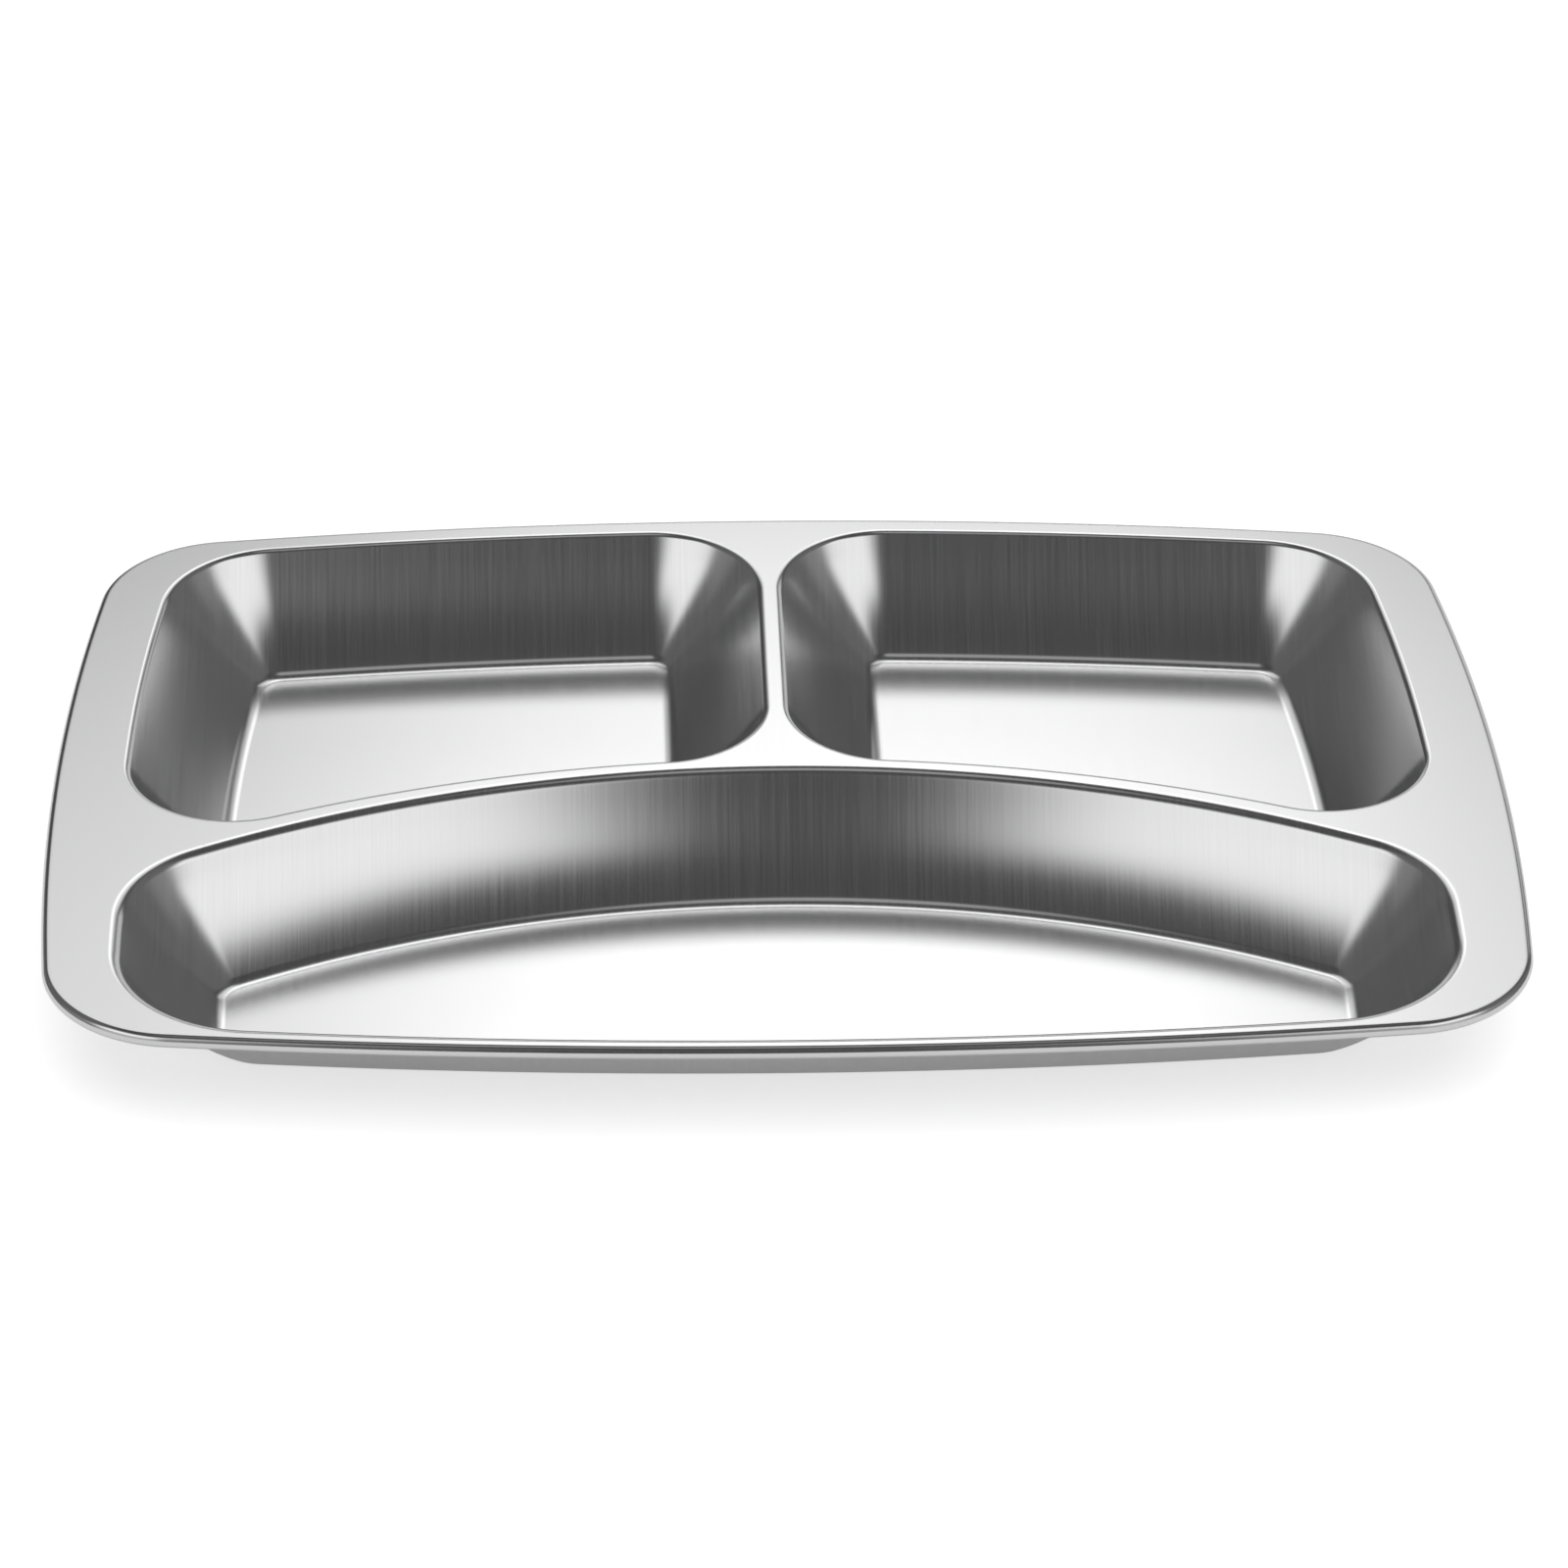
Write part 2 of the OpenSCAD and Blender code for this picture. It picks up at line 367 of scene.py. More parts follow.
def bend(
    centre: np.ndarray,
    radius: float,
    start: float,
    end: float,
    steps: int,
) -> list[tuple[float, float]]:
    """Points round a bend from one angle to another.

    Args:
        centre: Centre of the bend.
        radius: Radius of the bend.
        start: First angle.
        end: Last angle.
        steps: Number of short lines.

    Returns:
        The points, with both ends.
    """
    angles = np.linspace(start, end, steps + 1)
    return [(centre[0] + radius * math.cos(a), centre[1] + radius * math.sin(a)) for a in angles]


def shell(name: str, points: np.ndarray, faces: list[tuple[int, ...]]) -> bpy.types.Object:
    """Object from points and faces, smooth but for its sheared edges.

    Args:
        name: Name of the object.
        points: Points in the part's frame.
        faces: Faces, anticlockwise from outside.

    Returns:
        The new object, linked to the scene.
    """
    mesh = bpy.data.meshes.new(name)
    mesh.from_pydata([tuple(p) for p in points], [], faces)
    mesh.update()
    mesh.polygons.foreach_set("use_smooth", [True] * len(mesh.polygons))
    mesh.set_sharp_from_angle(angle=SHARP)
    made = bpy.data.objects.new(name, mesh)
    bpy.context.scene.collection.objects.link(made)
    return made


@dataclass(frozen=True)
class SteelFinish:
    """Satin finish of one region of the sheet.

    Args:
        name: Name of the material.
        colour: Reflected colour of the steel; the deck and the floors get lighter copies of it as painted
            light.
        roughness: Mean roughness.
        grain: How far the grain moves the roughness.
        streaks: How far it moves the colour, as a share.
        grain_width: Width of a grain line.
        grain_length: Length of a grain line.
        relief: Depth of the grain in the relief.
    """

    name: str
    colour: tuple[float, float, float]
    roughness: float
    grain: float
    streaks: float
    grain_width: float
    grain_length: float
    relief: float

    def material(self) -> bpy.types.Material:
        """The finish as a material on Object coordinates.

        Returns:
            The new material, whose grain runs from front to back.
        """
        made = bpy.data.materials.new(self.name)
        made.use_nodes = True
        made.diffuse_color = (*self.colour, 1)
        nodes = made.node_tree.nodes
        link = made.node_tree.links.new
        steel = nodes["Principled BSDF"]
        steel.inputs["Metallic"].default_value = 1
        place = nodes.new("ShaderNodeTexCoord")
        stretch = nodes.new("ShaderNodeMapping")
        stretch.inputs["Scale"].default_value = (
            1 / self.grain_width, 1 / self.grain_length, 1 / self.grain_length
        )
        grain = nodes.new("ShaderNodeTexNoise")
        grain.inputs["Scale"].default_value = 1
        grain.inputs["Detail"].default_value = GRAIN_DETAIL
        link(place.outputs["Object"], stretch.inputs["Vector"])
        link(stretch.outputs["Vector"], grain.inputs["Vector"])
        spread = nodes.new("ShaderNodeMapRange")
        spread.inputs["To Min"].default_value = self.roughness - self.grain
        spread.inputs["To Max"].default_value = self.roughness + self.grain
        link(grain.outputs["Fac"], spread.inputs["Value"])
        link(spread.outputs["Result"], steel.inputs["Roughness"])
        tone = nodes.new("ShaderNodeMapRange")
        tone.inputs["To Min"].default_value = 1 - self.streaks
        tone.inputs["To Max"].default_value = 1 + self.streaks
        link(grain.outputs["Fac"], tone.inputs["Value"])
        colour = nodes.new("ShaderNodeVectorMath")
        colour.operation = "SCALE"
        colour.inputs[0].default_value = self.colour
        link(tone.outputs["Result"], colour.inputs["Scale"])
        link(colour.outputs["Vector"], steel.inputs["Base Color"])
        relief = nodes.new("ShaderNodeBump")
        relief.inputs["Strength"].default_value = 1
        relief.inputs["Distance"].default_value = self.relief
        link(grain.outputs["Fac"], relief.inputs["Height"])
        link(relief.outputs["Normal"], steel.inputs["Normal"])
        return made


STEEL = (0.80, 0.80, 0.805)
# Lighter copy of the one steel for the deck: painted light, so that the deck looks brighter than the
# walls of the same sheet.
DECK_STEEL_PAINTED_LIGHTER = (0.82, 0.82, 0.825)
# Lighter copy again for the floors: painted light, so that the floors look brighter than the walls of the
# same sheet.
FLOOR_STEEL_PAINTED_LIGHTER = (0.83, 0.83, 0.835)
# Satin roughness and grain of the deck, with its painted lighter colour.
DECK_FINISH_PAINTED_LIGHTER = SteelFinish(
    "satin_deck_steel_painted_lighter", DECK_STEEL_PAINTED_LIGHTER, roughness=0.19, grain=0.03, streaks=0.02,
    grain_width=0.0003, grain_length=0.02, relief=0.0000006,
)
RIM_FINISH = SteelFinish(
    "buffed_rim_steel", STEEL, roughness=0.18, grain=0.03, streaks=0.02,
    grain_width=0.0004, grain_length=0.02, relief=0.0000003,
)
WALL_FINISH = SteelFinish(
    "drawn_wall_steel", STEEL, roughness=0.19, grain=0.04, streaks=0.09,
    grain_width=0.0005, grain_length=0.03, relief=0.0000010,
)
# Satin roughness and grain of the floors, with their painted lighter colour.
FLOOR_FINISH_PAINTED_LIGHTER = SteelFinish(
    "satin_floor_steel_painted_lighter", FLOOR_STEEL_PAINTED_LIGHTER, roughness=0.19, grain=0.03, streaks=0.02,
    grain_width=0.0003, grain_length=0.02, relief=0.0000006,
)


@dataclass(frozen=True)
class NodeMath:
    """Arithmetic in a tree of nodes.

    Args:
        tree: The tree that gets the nodes.
    """

    tree: bpy.types.NodeTree

    def step(self, operation: str, *values: bpy.types.NodeSocket | float) -> bpy.types.NodeSocket:
        """One step of arithmetic.

        Args:
            operation: Operation of the math node.
            values: The sockets and numbers that go into it.

        Returns:
            The socket with the result.
        """
        node = self.tree.nodes.new("ShaderNodeMath")
        node.operation = operation
        for socket, value in zip(node.inputs, values):
            if isinstance(value, bpy.types.NodeSocket):
                self.tree.links.new(value, socket)
            else:
                socket.default_value = value
        return node.outputs[0]


def dress(piece: bpy.types.Object, node: str, material: bpy.types.Material) -> None:
    """Gives a piece its finish and puts it in place of its node of the frame.

    Args:
        piece: The finished mesh.
        node: Node of the frame that it stands for.
        material: Its finish.
    """
    piece.data.materials.clear()
    piece.data.materials.append(material)
    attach(piece, BODY)
    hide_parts(node)
    LOG.info("%s: %d faces in place of %s", piece.name, len(piece.data.polygons), node)


@dataclass
class PlateOutlines:
    """The outlines of the rim and of the three wells, from the plate's driving sizes.

    Args:
        main_sheet: The sheet down the walls of the long well.
        back_sheet: The sheet down the walls of the back wells.
        width: Width of the plate.
        depth: Depth of the plate, from front to back.
        back_edge_r: Radius of the plate's back edge.
        front_edge_r: Radius of its front edge.
        side_edge_r: Radius of its side edges.
        widest_forward: How far in front of the middle the side edges are widest.
        corner_r: Radius of its four corners.
        back_land: Land behind the back wells.
        back_land_flare: How much shorter the radius of the wells' back is than for an even land.
        front_land: Land in front of the long well.
        front_land_flare: How much shorter the radius of the long well's front is than for an even land.
        side_land: Land beside the back wells.
        end_land: Land at the ends of the long well.
        divider_w: Width of the divider between the back wells.
        arch_divider_w: Width of the arched divider, in the middle.
        arch_divider_flare: How much longer the radius of its back is than for an even divider.
        main_well_d: Depth of the long well, from front to back.
        main_arch_r: Radius of its arch.
        main_end_r: Radius of its ends.
        main_end_forward: How far in front of the middle its ends are widest.
        main_arch_corner_r: Radius of its floor's corners by the arch.
        main_front_corner_r: Radius of its floor's front corners.
        well_side_r: Radius of the back wells' outer sides.
        well_side_forward: How far in front of the middle those sides are widest.
        outer_back_corner_r: Radius of a back well's floor at its outer back corner.
        inner_back_corner_r: The same at its inner back corner.
        inner_front_corner_r: The same at its inner front corner.
        outer_front_corner_r: The same at its outer front corner.
    """

    main_sheet: PressedSheet = PressedSheet(deck_bend_r=0.0032)
    back_sheet: PressedSheet = PressedSheet(deck_bend_r=0.0018)
    width: float = 0.300
    depth: float = 0.206
    back_edge_r: float = 1.000
    front_edge_r: float = 1.220
    side_edge_r: float = 0.680
    widest_forward: float = 0.022
    corner_r: float = 0.028
    back_land: float = 0.006
    back_land_flare: float = 0.034
    front_land: float = 0.004
    front_land_flare: float = 0.096
    side_land: float = 0.0155
    end_land: float = 0.0164
    divider_w: float = 0.0044
    arch_divider_w: float = 0.0042
    arch_divider_flare: float = 0.0168
    main_well_d: float = 0.0991
    main_arch_r: float = 0.253
    main_end_r: float = 0.400
    main_end_forward: float = 0.058
    main_arch_corner_r: float = 0.0054
    main_front_corner_r: float = 0.0082
    well_side_r: float = 0.580
    well_side_forward: float = 0.0065
    outer_back_corner_r: float = 0.004
    inner_back_corner_r: float = 0.0026
    inner_front_corner_r: float = 0.0016
    outer_front_corner_r: float = 0.0012

    @property
    def arch_line(self) -> float:
        """Y of the main well's arch, along the middle."""
        return -self.depth / 2 + self.front_land + self.main_well_d

    def plate(self) -> Ring:
        """Outline of the whole plate.

        Returns:
            The outer edge of the rim.
        """
        back = Side((0, self.depth / 2 - self.back_edge_r), self.back_edge_r)
        front = Side((0, self.front_edge_r - self.depth / 2), self.front_edge_r)
        side = Side((self.width / 2 - self.side_edge_r, -self.widest_forward), self.side_edge_r)
        # The front side's centre lies behind it, so that it bulges forward
        return Ring.mirrored(side, back, front, self.corner_r, self.corner_r)

    def main_well(self) -> Ring:
        """Sharp edge of the long arched well.

        Returns:
            The line where deck and wall would meet without a bend.
        """
        front_line = -self.depth / 2 + self.front_land
        front_r = self.front_edge_r - self.front_land - self.front_land_flare
        end_line = self.width / 2 - self.end_land
        arch = Side((0, self.arch_line - self.main_arch_r), self.main_arch_r)
        front = Side((0, front_line + front_r), front_r)
        end = Side((end_line - self.main_end_r, -self.main_end_forward), self.main_end_r)
        inset = self.main_sheet.floor_inset
        return Ring.mirrored(
            end, arch, front, self.main_arch_corner_r + inset, self.main_front_corner_r + inset
        )

    def back_well(self) -> Ring:
        """Sharp edge of the right back well.

        Returns:
            The line where deck and wall would meet without a bend.
        """
        inset = self.back_sheet.floor_inset
        back_r = self.back_edge_r - self.back_land - self.back_land_flare
        front_r = self.main_arch_r + self.arch_divider_w + self.arch_divider_flare
        front_line = self.arch_line + self.arch_divider_w
        side_line = self.width / 2 - self.side_land
        line = self.divider_w / 2
        back = Side((0, self.depth / 2 - self.back_land - back_r), back_r)
        side = Side((side_line - self.well_side_r, -self.well_side_forward), self.well_side_r)
        front = Side((0, front_line - front_r), front_r, Sense.HOLLOW)
        outer_back_r = self.outer_back_corner_r + inset
        inner_back_r = self.inner_back_corner_r + inset
        inner_front_r = self.inner_front_corner_r + inset
        outer_front_r = self.outer_front_corner_r + inset
        outer_back = side.corner_with(back, outer_back_r, Hand.LEFT)
        inner_back = back.corner_by_line(line, inner_back_r)
        inner_front = front.corner_by_line(line, inner_front_r)
        outer_front = side.corner_with(front, outer_front_r, Hand.LEFT)
        to_back = bearing(side.centre, outer_back), bearing(back.centre, outer_back)
        to_side = bearing(outer_front, front.centre), bearing(side.centre, outer_front)
        run = inner_back[1] - inner_front[1]
        corner = Stretch.of_corner
        return Ring((
            Stretch.of_side(side, outer_front, outer_back),
            corner(outer_back, outer_back_r, *to_back),
            Stretch.of_side(back, outer_back, inner_back),
            corner(inner_back, inner_back_r, bearing(back.centre, inner_back), math.pi),
            Stretch((line, inner_back[1]), run, start=0, swept=0, sense=Sense.STRAIGHT),
            corner(inner_front, inner_front_r, math.pi, bearing(inner_front, front.centre)),
            Stretch.of_side(front, inner_front, outer_front),
            corner(outer_front, outer_front_r, *to_side),
        ))


def flipped(loop: np.ndarray) -> np.ndarray:
    """An outline mirrored to the other half of the plate.

    Args:
        loop: The outline, anticlockwise.

    Returns:
        The mirrored outline, anticlockwise too.
    """
    turned = loop[::-1].copy()
    turned[:, 0] *= -1
    return turned


@dataclass
class Well:
    """One well of the plate: its wall, and the floor that it stands on.

    Args:
        name: Name of the well.
        ring: Sharp edge of the well.
        sheet: The sheet.
        on_left: Whether the ring is mirrored to the left.
    """

    name: str
    ring: Ring
    sheet: PressedSheet
    on_left: bool = False

    def loop(self, inset: float) -> np.ndarray:
        """Outline of the well at an inset, on its own side of the plate."""
        loop = self.ring.loop(inset)
        return flipped(loop) if self.on_left else loop

    def build_wall(self) -> bpy.types.Object:
        """The wall with both bends.

        Returns:
            A closed shell.
        """
        rows = []
        for inset, height in self.sheet.wall_profile:
            loop = self.loop(inset)
            rows.append(np.column_stack([loop, np.full(len(loop), height)]))
        faces = [face[::-1] for face in band_faces(len(rows), len(rows), len(rows[0]))]
        return shell(f"{self.name}_wall_steel", np.concatenate(rows), faces)

    def build_floor(self) -> bpy.types.Object:
        """The flat floor, as a closed shell."""
        loops = [self.loop(self.sheet.floor_seam)]
        return plate_shell(f"{self.name}_floor_steel", loops, 0, self.sheet.thickness)


def band_faces(bands: int, rows: int, wide: int) -> list[tuple[int, ...]]:
    """Faces of bands between rows of points, where each row runs round.

    Args:
        bands: Number of bands.
        rows: Number of rows, after which the first one comes again.
        wide: Points in a row.

    Returns:
        The faces, each by the numbers of its four points.
    """
    faces = []
    for i in range(bands):
        here = i * wide
        after = (i + 1) % rows * wide
        for j in range(wide):
            beside = (j + 1) % wide
            faces.append((here + j, after + j, after + beside, here + beside))
    return faces


def plate_shell(name: str, loops: list[np.ndarray], low: float, high: float) -> bpy.types.Object:
    """Flat sheet between two heights, inside the first outline and outside the others.

    Args:
        name: Name of the object.
        loops: Outlines in plan, anticlockwise.
        low: Height of the underside.
        high: Height of the upper face.

    Returns:
        The new object.
    """
    flat = np.concatenate(loops)
    count = len(flat)
    points = np.concatenate([
        np.column_stack([flat, np.full(count, high)]),
        np.column_stack([flat, np.full(count, low)]),
    ])
    triangles = tessellate_polygon([[Vector((x, y, 0)) for x, y in loop] for loop in loops])
    faces = []
    for a, b, c in triangles:
        (ax, ay), (bx, by), (cx, cy) = flat[a], flat[b], flat[c]
        if (bx - ax) * (cy - ay) - (by - ay) * (cx - ax) < 0:
            b, c = c, b
        faces += [(a, b, c), (count + a, count + c, count + b)]
    start = 0
    for number, loop in enumerate(loops):
        size = len(loop)
        for i in range(size):
            a, b = start + i, start + (i + 1) % size
            face = (a, count + a, count + b, b)
            faces.append(face if number == 0 else face[::-1])
        start += size
    return shell(name, points, faces)


@dataclass
class RolledRim:
    """Edge of the sheet, rolled outward and under by a tree of Geometry Nodes.

    Args:
        ring: Outline of the plate.
        sheet: The sheet.
        roll_r: Outer radius of the roll.
        roll: Angle through which the edge is rolled.
        steps: Short lines that stand for the roll.
        trim: How far the rim is drawn in, so that it stays inside the straight steps of the frame.
    """

    ring: Ring
    sheet: PressedSheet
    roll_r: float = 0.0015
    roll: float = math.radians(280)
    steps: int = 40
    trim: float = 0.0001

    @property
    def deck_seam(self) -> float:
        """Inset at which the rim meets the deck."""
        return self.trim + self.roll_r + self.sheet.seam_strip

    def tree(self) -> bpy.types.NodeTree:
        """The tree that rolls a profile and carries it along an outline.

        Returns:
            The new tree, with named inputs for its sizes.
        """
        tree = bpy.data.node_groups.new("rolled_edge", "GeometryNodeTree")
        face = tree.interface
        face.new_socket("Outline", in_out="INPUT", socket_type="NodeSocketGeometry")
        for name in ("Roll Radius", "Sheet Thickness", "Roll Angle", "Seam Strip"):
            face.new_socket(name, in_out="INPUT", socket_type="NodeSocketFloat")
        face.new_socket("Roll Steps", in_out="INPUT", socket_type="NodeSocketInt")
        face.new_socket("Finish", in_out="INPUT", socket_type="NodeSocketMaterial")
        face.new_socket("Rim", in_out="OUTPUT", socket_type="NodeSocketGeometry")
        make = tree.nodes.new
        link = tree.links.new
        step = NodeMath(tree).step
        given = make("NodeGroupInput").outputs
        roll_r = given["Roll Radius"]
        steps = given["Roll Steps"]
        # The profile runs out along the roll's outer face and back along its inner one, and each face
        # has a point on the flat strip before those of the roll
        last = step("ADD", step("MULTIPLY", steps, 2), 3)
        index = make("GeometryNodeInputIndex").outputs[0]
        way = step("MINIMUM", index, step("SUBTRACT", last, index))
        turned = step("MAXIMUM", step("SUBTRACT", way, 1), 0)
        angle = step("MULTIPLY", given["Roll Angle"], step("DIVIDE", turned, steps))
        angle = step("ADD", angle, QUARTER)
        inner = step("GREATER_THAN", index, step("DIVIDE", last, 2))
        radius = step("SUBTRACT", roll_r, step("MULTIPLY", inner, given["Sheet Thickness"]))
        strip = step("MULTIPLY", step("LESS_THAN", way, 0.5), given["Seam Strip"])
        inset = step("ADD", roll_r, step("MULTIPLY", radius, step("COSINE", angle)))
        inset = step("ADD", inset, strip)
        drop = step("SUBTRACT", roll_r, step("MULTIPLY", radius, step("SINE", angle)))
        place = make("ShaderNodeCombineXYZ")
        link(step("MULTIPLY", inset, -1), place.inputs["X"])
        link(drop, place.inputs["Y"])
        line = make("GeometryNodeMeshLine")
        link(step("ADD", last, 1), line.inputs["Count"])
        put = make("GeometryNodeSetPosition")
        link(line.outputs["Mesh"], put.inputs["Geometry"])
        link(place.outputs["Vector"], put.inputs["Position"])
        profile = make("GeometryNodeMeshToCurve")
        link(put.outputs["Geometry"], profile.inputs[0])
        closed = make("GeometryNodeSetSplineCyclic")
        closed.inputs["Cyclic"].default_value = True
        link(profile.outputs["Curve"], closed.inputs[0])
        outline = make("GeometryNodeMeshToCurve")
        link(given["Outline"], outline.inputs[0])
        upright = make("GeometryNodeSetCurveNormal")
        upright.mode = "Z_UP"
        link(outline.outputs["Curve"], upright.inputs[0])
        carry = make("GeometryNodeCurveToMesh")
        link(upright.outputs["Curve"], carry.inputs["Curve"])
        link(closed.outputs[0], carry.inputs["Profile Curve"])
        real = make("GeometryNodeRealizeInstances")
        link(carry.outputs["Mesh"], real.inputs[0])
        finish = make("GeometryNodeSetMaterial")
        link(real.outputs[0], finish.inputs["Geometry"])
        link(given["Finish"], finish.inputs["Material"])
        link(finish.outputs[0], make("NodeGroupOutput").inputs["Rim"])
        return tree

    def build(self, material: bpy.types.Material) -> bpy.types.Object:
        """The rolled rim as a plain mesh.

        Args:
            material: Its finish.

        Returns:
            The new object.
        """
        loop = self.ring.loop(self.trim)
        count = len(loop)
        path = bpy.data.meshes.new("rim_path")
        points = [(x, y, self.sheet.height) for x, y in loop]
        path.from_pydata(points, [(i, (i + 1) % count) for i in range(count)], [])
        guide = bpy.data.objects.new("rim_path", path)
        bpy.context.scene.collection.objects.link(guide)
        tree = self.tree()
        rolled = guide.modifiers.new("rolled_edge", "NODES")
        rolled.node_group = tree
        sizes = {
            "Roll Radius": self.roll_r,
            "Sheet Thickness": self.sheet.thickness,
            "Roll Angle": self.roll,
            "Seam Strip": self.sheet.seam_strip,
            "Roll Steps": self.steps,
            "Finish": material,
        }
        for socket in tree.interface.items_tree:
            if socket.in_out == "INPUT" and socket.name in sizes:
                rolled[socket.identifier] = sizes[socket.name]
        graph = bpy.context.evaluated_depsgraph_get()
        mesh = bpy.data.meshes.new_from_object(guide.evaluated_get(graph))
        guide.modifiers.remove(rolled)
        bpy.data.objects.remove(guide)
        mesh.name = "rolled_rim_steel"
        mesh.polygons.foreach_set("use_smooth", [True] * len(mesh.polygons))
        mesh.set_sharp_from_angle(angle=SHARP)
        made = bpy.data.objects.new("rolled_rim_steel", mesh)
        bpy.context.scene.collection.objects.link(made)
        return made


@dataclass
class CompartmentPlate:
    """The whole plate, pressed from one sheet.

    Args:
        outlines: Outlines of the rim and of the wells.
    """

    outlines: PlateOutlines = field(default_factory=PlateOutlines)

    def build(self) -> None:
        """Builds every region of the sheet and dresses it."""
        main_sheet = self.outlines.main_sheet
        back_sheet = self.outlines.back_sheet
        deck_steel = DECK_FINISH_PAINTED_LIGHTER.material()
        rim_steel = RIM_FINISH.material()
        wall_steel = WALL_FINISH.material()
        floor_steel = FLOOR_FINISH_PAINTED_LIGHTER.material()
        back_ring = self.outlines.back_well()
        wells = [
            Well("main_well", self.outlines.main_well(), main_sheet),
            Well("left_well", back_ring, back_sheet, on_left=True),
            Well("right_well", back_ring, back_sheet),
        ]
        plate_ring = self.outlines.plate()
        rim = RolledRim(plate_ring, main_sheet)
        dress(rim.build(rim_steel), "rolled_rim", rim_steel)
        loops = [plate_ring.loop(rim.deck_seam)] + [well.loop(well.sheet.deck_seam) for well in wells]
        height = main_sheet.height
        deck = plate_shell("deck_land_steel", loops, height - main_sheet.thickness, height)
        dress(deck, "deck", deck_steel)
        for well in wells:
            dress(well.build_wall(), f"{well.name}_wall", wall_steel)
            dress(well.build_floor(), f"{well.name}_floor", floor_steel)


@dataclass(frozen=True)
class TentPanel:
    """Panel of the light tent, lighter than the rest.

    Angles are in degrees. The rise is above the horizon, and the turn starts at the back of the plate
    and is positive to the right, so that it is 180 or -180 at the front. A panel that starts and ends
    past those runs all round.

    Args:
        name: Name of the panel.
        rise: Where it starts and ends above the horizon.
        turn: Where it starts and ends round the plate.
        soft_rise: Height of its soft lower and upper edges.
        soft_turn: Width of its soft edges where it starts and ends.
        level: Light that it adds.
    """

    name: str
    rise: tuple[float, float]
    turn: tuple[float, float]
    soft_rise: tuple[float, float]
    soft_turn: tuple[float, float]
    level: float


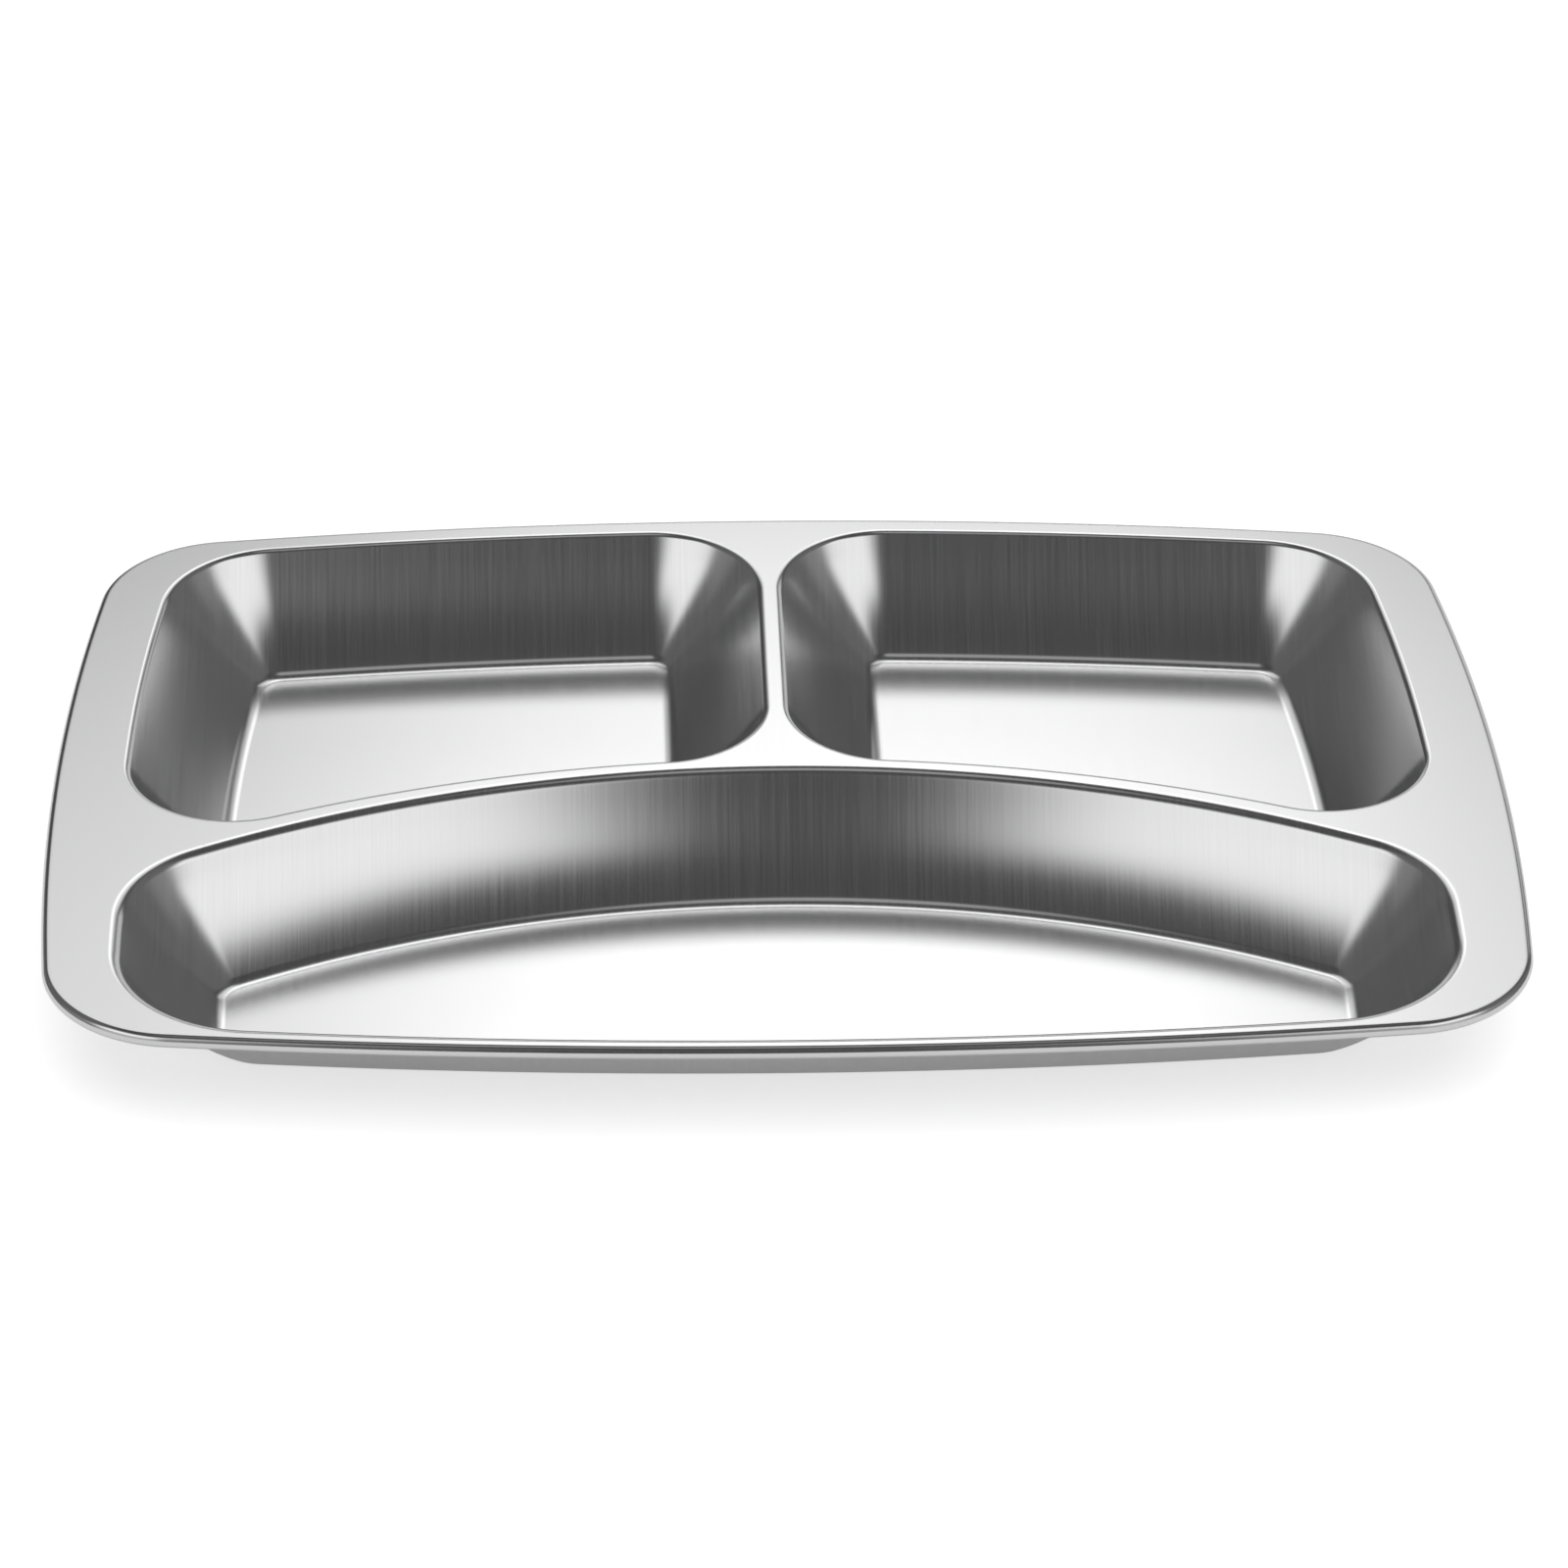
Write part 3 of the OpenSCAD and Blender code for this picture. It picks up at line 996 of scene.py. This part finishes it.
@dataclass
class Studio:
    """Pale floor, light tent and lamps round the plate.

    Args:
        panels: Panels of the tent.
        tent_level: Light of the tent between its panels.
        tent_r: Radius of the tent.
        tent_foot: How far the tent starts below the horizon, as an angle.
        tent_rows: Bands of faces from the tent's foot to its top.
        tent_slices: Faces round the tent.
        floor_r: Half the width of the floor.
        floor_drop: How far the floor lies below the plate.
        floor_colour: Grey of the floor.
        floor_glow: Light that the floor adds for the camera, to be white.
        floor_gleam: Light that it adds for reflections.
        sun_level: Strength of the lamp overhead.
        sun_spread: Width of that lamp, as an angle.
        sun_tilt: How far it stands to the front and to the right, as angles.
        sky_level: Light of the world on matt surfaces.
    """

    panels: tuple[TentPanel, ...]
    tent_level: float = 0.065
    tent_r: float = 4.0
    tent_foot: float = math.radians(2)
    tent_rows: int = 32
    tent_slices: int = 64
    floor_r: float = 6.0
    floor_drop: float = 0.0001
    floor_colour: float = 0.7
    floor_glow: float = 0.62
    floor_gleam: float = 0.15
    sun_level: float = 1.6
    sun_spread: float = math.radians(80)
    sun_tilt: tuple[float, float] = (math.radians(4), math.radians(5))
    sky_level: float = 0.3

    def build(self) -> None:
        """Builds the floor, the tent, the lamps and the world."""
        self.build_world()
        self.build_floor()
        self.build_tent()
        self.build_sun()

    def build_world(self) -> None:
        """White for the camera and for reflections, and a plain level for the rest."""
        world = bpy.data.worlds.new("white_backdrop")
        bpy.context.scene.world = world
        world.use_nodes = True
        nodes = world.node_tree.nodes
        link = world.node_tree.links.new
        nodes["Background"].inputs["Color"].default_value = (1, 1, 1, 1)
        seen = seen_directly(world.node_tree)
        level = nodes.new("ShaderNodeMapRange")
        level.inputs["To Min"].default_value = self.sky_level
        link(seen, level.inputs["Value"])
        link(level.outputs["Result"], nodes["Background"].inputs["Strength"])

    def build_floor(self) -> None:
        """Pale floor that keeps the plate's shadow and can be looked through from below."""
        r = self.floor_r
        corners = ((-r, -r), (r, -r), (r, r), (-r, r))
        points = np.array([(x, y, -self.floor_drop) for x, y in corners])
        floor = shell("studio_floor", points, [(0, 1, 2, 3)])
        material = bpy.data.materials.new("pale_floor")
        material.use_nodes = True
        tree = material.node_tree
        nodes = tree.nodes
        link = tree.links.new
        step = NodeMath(tree).step
        nodes.remove(nodes["Principled BSDF"])
        matt = nodes.new("ShaderNodeBsdfDiffuse")
        matt.inputs["Color"].default_value = (self.floor_colour,) * 3 + (1,)
        path = nodes.new("ShaderNodeLightPath").outputs
        gleam = step("MULTIPLY", seen_directly(tree), self.floor_gleam)
        strength = step("MULTIPLY_ADD", path["Is Camera Ray"], self.floor_glow - self.floor_gleam, gleam)
        glow = nodes.new("ShaderNodeEmission")
        link(strength, glow.inputs["Strength"])
        both = nodes.new("ShaderNodeAddShader")
        link(matt.outputs[0], both.inputs[0])
        link(glow.outputs[0], both.inputs[1])
        below = nodes.new("ShaderNodeBsdfTransparent")
        facing = nodes.new("ShaderNodeNewGeometry")
        mixed = nodes.new("ShaderNodeMixShader")
        link(facing.outputs["Backfacing"], mixed.inputs[0])
        link(both.outputs[0], mixed.inputs[1])
        link(below.outputs[0], mixed.inputs[2])
        link(mixed.outputs[0], nodes["Material Output"].inputs["Surface"])
        floor.data.materials.append(material)

    def build_tent(self) -> None:
        """Tent of soft panels that the steel reflects."""
        points = []
        for i in range(self.tent_rows + 1):
            rise = (QUARTER + self.tent_foot) * i / self.tent_rows - self.tent_foot
            out = self.tent_r * math.cos(rise)
            height = self.tent_r * math.sin(rise)
            for j in range(self.tent_slices):
                turn = TURN * j / self.tent_slices
                points.append((out * math.cos(turn), out * math.sin(turn), height))
        faces = band_faces(self.tent_rows, self.tent_rows + 1, self.tent_slices)
        tent = shell("light_tent", np.array(points), faces)
        material = bpy.data.materials.new("tent_panels")
        material.use_nodes = True
        tree = material.node_tree
        nodes = tree.nodes
        link = tree.links.new
        nodes.remove(nodes["Principled BSDF"])
        place = nodes.new("ShaderNodeTexCoord")
        unit = nodes.new("ShaderNodeVectorMath")
        unit.operation = "NORMALIZE"
        link(place.outputs["Object"], unit.inputs[0])
        apart = nodes.new("ShaderNodeSeparateXYZ")
        link(unit.outputs["Vector"], apart.inputs[0])
        step = NodeMath(tree).step
        rise = step("DEGREES", step("ARCSINE", apart.outputs["Z"]))
        turn = step("DEGREES", step("ARCTAN2", apart.outputs["X"], apart.outputs["Y"]))
        total = self.tent_level
        for panel in self.panels:
            band = window(tree, rise, panel.rise, panel.soft_rise)
            shape = step("MULTIPLY", band, window(tree, turn, panel.turn, panel.soft_turn))
            total = step("ADD", step("MULTIPLY", shape, panel.level), total)
        glow = nodes.new("ShaderNodeEmission")
        link(total, glow.inputs["Strength"])
        link(glow.outputs[0], nodes["Material Output"].inputs["Surface"])
        tent.data.materials.append(material)
        tent.visible_camera = False
        tent.visible_diffuse = False
        tent.visible_shadow = False

    def build_sun(self) -> None:
        """Broad lamp overhead that gives the floor its level and the plate its soft shadow."""
        lamp = bpy.data.lights.new("overhead_lamp", "SUN")
        lamp.energy = self.sun_level
        lamp.angle = self.sun_spread
        made = bpy.data.objects.new("overhead_lamp", lamp)
        made.rotation_euler = (*self.sun_tilt, 0)
        made.visible_glossy = False
        bpy.context.scene.collection.objects.link(made)


def window(
    tree: bpy.types.NodeTree,
    value: bpy.types.NodeSocket,
    span: tuple[float, float],
    soft: tuple[float, float],
) -> bpy.types.NodeSocket:
    """Opening in a tree of nodes that lets a span of values through.

    Args:
        tree: The tree that gets the nodes.
        value: The value.
        span: Middles of the opening's two soft edges.
        soft: Widths of those edges.

    Returns:
        The socket that is 1 inside the span and 0 outside.
    """
    edges = []
    for middle, width, way in ((span[0], soft[0], 1), (span[1], soft[1], -1)):
        edge = tree.nodes.new("ShaderNodeMapRange")
        edge.interpolation_type = "SMOOTHERSTEP"
        edge.inputs["From Min"].default_value = middle - way * width / 2
        edge.inputs["From Max"].default_value = middle + way * width / 2
        tree.links.new(value, edge.inputs["Value"])
        edges.append(edge.outputs["Result"])
    return NodeMath(tree).step("MULTIPLY", *edges)


def seen_directly(tree: bpy.types.NodeTree) -> bpy.types.NodeSocket:
    """Tells rays that see a surface itself from those that only carry its light.

    Args:
        tree: The tree that gets the nodes.

    Returns:
        The socket that is 1 for rays from the camera, off gloss or through glass, otherwise 0.
    """
    path = tree.nodes.new("ShaderNodeLightPath").outputs
    mirrored = NodeMath(tree).step("MAXIMUM", path["Is Camera Ray"], path["Is Glossy Ray"])
    return NodeMath(tree).step("MAXIMUM", mirrored, path["Is Transmission Ray"])


@dataclass(frozen=True)
class PhotoCamera:
    """Camera at the photograph's viewing angle.

    Args:
        lens: Focal length in millimetres.
        sensor: Width of the sensor in millimetres.
        target: Point in the middle of the frame.
        distance: Distance from the target.
        elevation: Height of the camera above the horizon, in degrees.
        yaw: How far the camera looks to the right of the plate's middle line, in degrees.
        roll: How far it leans, in degrees.
        nearest: Distance from which it sees things.
        farthest: Distance up to which it sees them.
    """

    lens: float = 168.75
    sensor: float = 36.0
    target: tuple[float, float, float] = (0.00078, -0.00606, 0.0215)
    distance: float = 1.5135
    elevation: float = 32.206
    yaw: float = 1.93
    roll: float = 0.498
    nearest: float = 0.1
    farthest: float = 20.0

    def build(self) -> None:
        """Makes the camera and gives it to the scene."""
        data = bpy.data.cameras.new("photo_camera")
        data.lens = self.lens
        data.sensor_width = self.sensor
        data.clip_start = self.nearest
        data.clip_end = self.farthest
        made = bpy.data.objects.new("photo_camera", data)
        bpy.context.scene.collection.objects.link(made)
        rise, turn, lean = (math.radians(a) for a in (self.elevation, self.yaw, self.roll))
        look = Vector((math.sin(turn) * math.cos(rise), math.cos(turn) * math.cos(rise), -math.sin(rise)))
        right = Vector((math.cos(turn), -math.sin(turn), 0))
        up = right.cross(look)
        leant_right = right * math.cos(lean) + up * math.sin(lean)
        leant_up = up * math.cos(lean) - right * math.sin(lean)
        axes = Matrix((leant_right, leant_up, -look)).transposed().to_4x4()
        axes.translation = Vector(self.target) - look * self.distance
        made.matrix_world = axes
        bpy.context.scene.camera = made


PANELS = (
    TentPanel("back_box", (29.5, 58), (-24, 28), (6, 8), (20, 20), 0.81),
    TentPanel("back_glow", (28, 56), (-3, 9), (8, 8), (8, 9), 0.68),
    TentPanel("backdrop", (-6, 22), (-12, 36), (4, 8), (12, 10), 0.55),
    TentPanel("right_side", (-6, 60), (45, 112), (4, 12), (14, 14), 0.075),
    TentPanel("left_side", (-6, 60), (-112, -35), (4, 12), (14, 14), 0.06),
    TentPanel("right_glow", (10, 30), (80, 112), (12, 12), (20, 14), 0.1),
    TentPanel("left_glow", (10, 30), (-112, -80), (12, 12), (14, 20), 0.1),
    TentPanel("right_low", (-6, 24), (112, 164), (4, 8), (14, 12), 0.45),
    TentPanel("left_low", (-6, 24), (-164, -112), (4, 8), (12, 14), 0.45),
    TentPanel("top_box", (81, 95), (-200, 200), (5, 4), (10, 10), 0.34),
    TentPanel("right_box", (27, 54), (104, 161), (8, 14), (18, 24), 0.98),
    TentPanel("left_box", (27, 54), (-161, -104), (8, 14), (24, 18), 0.98),
)


def main() -> None:
    """Builds the plate, the studio and the camera."""
    logging.basicConfig(level=logging.INFO, format="%(name)s: %(message)s")
    CompartmentPlate().build()
    Studio(PANELS).build()
    PhotoCamera().build()
    bpy.context.scene.view_settings.view_transform = "Standard"


if __name__ == "__main__":
    main()
